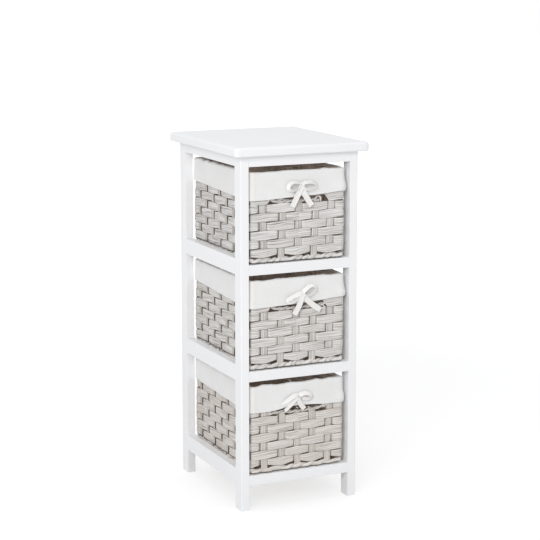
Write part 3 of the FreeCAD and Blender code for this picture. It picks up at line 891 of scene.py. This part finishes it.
# (x, z) in millimetres along the middle of the tape: left loop, right loop, left tail, right tail
bowLines = {
    "upper": (
        [(0, 563.7), (-7.1, 565.8), (-16.4, 566), (-22.8, 561.8), (-23.5, 556), (-18.5, 552.1),
         (-11.4, 551.7), (-4.9, 554.3), (-0.7, 558.6)],
        [(3.6, 563.5), (11.5, 565.4), (21.6, 564.8), (28.1, 560.9), (28.9, 556.2), (23.8, 553.3),
         (16.6, 552.4), (9.4, 552.8), (3.7, 557)],
        [(5.1, 564.8), (0.1, 555.3), (-7, 540.1), (-14.5, 524)],
        [(-0.6, 560), (5.8, 548.5), (13.8, 536.2), (22.5, 524)],
    ),
    "middle": (
        [(3.7, 375.8), (-6.5, 372.6), (-16.6, 368.8), (-23.8, 364.1), (-19.5, 361.1), (-10.8, 362.3),
         (-2.1, 367.6), (2.9, 371.8)],
        [(4.4, 375.7), (10.2, 381.2), (16.7, 386), (23.2, 386.8), (28.4, 383), (29.1, 377.6), (24.8, 373.3),
         (17.5, 369.9), (10.2, 368.5), (5.8, 372.2)],
        [(5.1, 376.3), (1.5, 364.6), (-3.1, 351), (-10, 338)],
        [(3.4, 373), (12.5, 363), (26, 351.5), (40, 342)],
    ),
    "lower": (
        [(-1.5, 194), (-9.5, 196), (-19.5, 191), (-28.5, 185.5), (-30.5, 183), (-24, 182), (-13, 187),
         (-4, 191)],
        [(-0.4, 194.6), (4.9, 198), (14.4, 197.6), (20.5, 193.2), (19.8, 188.9), (13.1, 187.8), (5, 190.6)],
        [(-3, 191.5), (-9.6, 187.9), (-15.9, 181.3), (-22.1, 175.4), (-27.6, 170.2)],
        [(-4, 192), (-1.5, 185), (1.5, 179.5), (5, 175), (9.8, 169.5)],
    ),
}
# degrees that the tape's width turns out of the cuff's plane, left loop then right loop
bowLean = {"upper": (60, 55), "middle": (28, 48), "lower": (20, 35)}
tailWidth = {"upper": (0.01, 0.01), "middle": (0.01, 0.01), "lower": (0.0062, 0.0085)}  # left, right
bowRise = {"loopNear": 0.001, "loopTilt": 0.4, "loopSwell": 0.0022,
           "tails": ((0.0062, 0.0012), (0.004, 0.0012)), "tailTuck": 0.002}


def tapeStrip(line, rise, lean, start, width):
    # a flat strip: its width lies across the line, turned out of the cuff's plane by lean
    x, z = np.array(line).T / 1000
    centre = smoothLine(np.column_stack([x, tape["cuffFront"] - rise, z]), tape["steps"])
    forward = unit(np.gradient(centre, axis=0))
    flat = unit(np.column_stack([-forward[:, 2], np.zeros(len(centre)), forward[:, 0]]))
    turn = math.radians(lean)
    wide = flat * math.cos(turn) + np.array([0, -1, 0]) * math.sin(turn)
    wide = unit(wide - forward * (wide * forward).sum(1)[:, None])
    face = np.cross(forward, wide)
    v = np.array([*tape["section"], *tape["section"][::-1]])
    side = np.repeat([0.5, -0.5], len(tape["section"])) * tape["thick"]
    lift = side * (1 + tape["selvedge"] * (np.abs(v) > tape["selvedgeFrom"])) + tape["curl"] * (v ** 2 - 0.5)
    points = centre[:, None] + wide[:, None] * (v * width / 2)[:, None] + face[:, None] * lift[:, None]
    length = lengthAlong(centre)
    return {"points": points, "along": np.append(length, length[-1]) + start,
            "across": np.append(v, v[0]) * width / 2}, length[-1]


def bowGrids(level):
    # both loops swell out of the cuff's plane, and the tails come down to it from the knot
    strips = []
    for line, lean, way in zip(bowLines[level], bowLean[level], (1, -1)):
        near = bowRise["loopNear"] + bowRise["loopTilt"] * tape["loopWidth"] * math.sin(math.radians(lean))
        rise = near + bowRise["loopSwell"] * np.sin(np.pi * np.linspace(0, 1, len(line)))
        strips.append((line, rise, way * lean, tape["loopWidth"]))
    for line, ends, width in zip(bowLines[level][2:], bowRise["tails"], tailWidth[level]):
        rise = np.linspace(*ends, len(line))
        rise[0] -= bowRise["tailTuck"]
        strips.append((line, rise, 0, width))
    grids, total = [], 0.0
    for line, rise, lean, width in strips:
        grid, length = tapeStrip(line, rise, lean, total, width)
        grids.append(grid)
        total += length
    return grids, total


# Light, floor and white surround

studio = {"ambient": 0.62, "ambientColour": (0.985, 0.992, 1.0), "floorColour": 0.8, "shadowColour": 0.36,
          "floorGlow": (0.71, 1.0), "glowReach": (0.8, 2.6), "floorSize": 14.0, "lampAim": (0, 0, 0.3)}
# place, size and power
lamps = {"keyLamp": ((-2.26, -2.7, 1.72), 1.6, 61), "topLamp": ((0, 0, 3.6), 2.4, 16)}


def shownToEye(tree, plain, seen, output):
    # the eye and reflections get the seen shader, light on surfaces the plain one
    path = addNode(tree, "LightPath")
    most = maths(tree, "MAXIMUM", path["Is Camera Ray"], path["Is Glossy Ray"])
    eye = maths(tree, "MAXIMUM", most, path["Is Transmission Ray"])
    mix = addNode(tree, "MixShader", {0: eye, 1: plain, 2: seen})
    feed(tree.nodes[output], {"Surface": mix[0]})


def whiteSurround():
    world = scene.world = bpy.data.worlds.new("studio")
    world.use_nodes = True
    tree = world.node_tree
    background = tree.nodes["Background"]
    feed(background, {"Color": studio["ambientColour"], "Strength": studio["ambient"]})
    white = addNode(tree, "Background", {"Color": (1, 1, 1), "Strength": 1.0})
    shownToEye(tree, background.outputs[0], white[0], "World Output")


def paleFloor():
    # a diffuse floor that glows for the eye, up to white far away, and keeps the shadow
    size = studio["floorSize"]
    corners = [(-size, -size, 0), (size, -size, 0), (size, size, 0), (-size, size, 0)]
    mesh = bpy.data.meshes.new("floor")
    mesh.from_pydata(corners, [], [(0, 1, 2, 3)])
    floor = addObject("floor", mesh)
    material = bpy.data.materials.new("paleFloor")
    material.use_nodes = True
    tree = material.node_tree
    tree.nodes.remove(tree.nodes["Principled BSDF"])
    plain, shaded = (addNode(tree, "BsdfDiffuse", {"Color": (studio[grey],) * 3})[0]
                     for grey in ("floorColour", "shadowColour"))
    away = addNode(tree, "VectorMath", {0: mapped(tree, "Object")}, operation="LENGTH")["Value"]
    reach = dict(enumerate((away, *studio["glowReach"], *studio["floorGlow"])))
    fade = addNode(tree, "MapRange", reach, interpolation_type="SMOOTHSTEP")
    glow = addNode(tree, "Emission", {"Strength": fade[0]})
    seen = addNode(tree, "AddShader", {0: shaded, 1: glow[0]})
    shownToEye(tree, plain, seen[0], "Material Output")
    mesh.materials.append(material)


def softLamp(name, place, size, power):
    data = bpy.data.lights.new(name, "AREA")
    data.size = size
    data.energy = power
    lamp = addObject(name, data)
    lamp.location = place
    lamp.rotation_mode = "QUATERNION"
    lamp.rotation_quaternion = (Vector(studio["lampAim"]) - Vector(place)).to_track_quat("-Z", "Y")


whiteSurround()
paleFloor()
for lampName, lampValues in lamps.items():
    softLamp(lampName, *lampValues)
print("studio lit")

# Dress each basket

# random seed, which stakes the first row passes in front of, and how much the outside is turned bare brown
# and tinted darker
levels = {"lower": (40, 1, 0.2), "middle": (41, 0, 0.05), "upper": (42, 0, 0.0)}


def brownedGrids(grids, share):
    for grid in grids:
        grid["bare"] = np.maximum(grid.get("bare", 0.0), share)
        grid["tint"] = grid["tint"] + wash["outerTint"] * share
    return grids


for level, (seed, parity, outerBrown) in levels.items():
    body = f"{level}_basket"
    rng = np.random.default_rng(seed)
    wallLow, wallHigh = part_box(f"{body}_wall")
    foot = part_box(f"{body}_border")[0].z
    path = WallPath(wallLow, wallHigh, stakeLean[level])
    sill = [foot + height for height in weave["gripHeights"]]
    centres, heights = rowCentres(wallLow.z + weave["footGap"], sill, wallHigh.z)
    rows = weftRows(path, foot, centres, heights, parity, rng)
    wefts = gridPiece(body, "wefts", brownedGrids(rows, outerBrown), "grey_weave", "wall")
    stakes = uprightStakes(path, foot, centres, sill[0], wallHigh.z, parity, rng)
    gridPiece(body, "stakes", brownedGrids(stakes, outerBrown), "grey_weave")
    strands = footRopeGrids(path, foot, rope["turns"][level], rng)
    gridPiece(body, "foot_rope", brownedGrids(strands, outerBrown), "grey_weave", "border")
    twist = sillRopeGrids(path, sill[0], *sillLines[level])
    gridPiece(body, "sill_rope", brownedGrids(twist, outerBrown), "grey_weave")
    gridPiece(body, "base_weave", baseGrids(*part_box(f"{body}_base")), "grey_weave", "base")
    form = CuffForm(path, foot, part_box(f"{body}_cuff")[1].z, cuffEdge[level], rng)
    band = gridPiece(body, "cuff_cloth", [cuffGrid(form)], "cotton_cuff", "cuff")
    stitches = gridPiece(body, "hem_stitches", hemStitches(form), "cotton_cuff")
    strips, tapeLength = bowGrids(level)
    bow = gridPiece(body, "ribbon", strips, "cotton_ribbon", "bow")
    print(body, "woven")
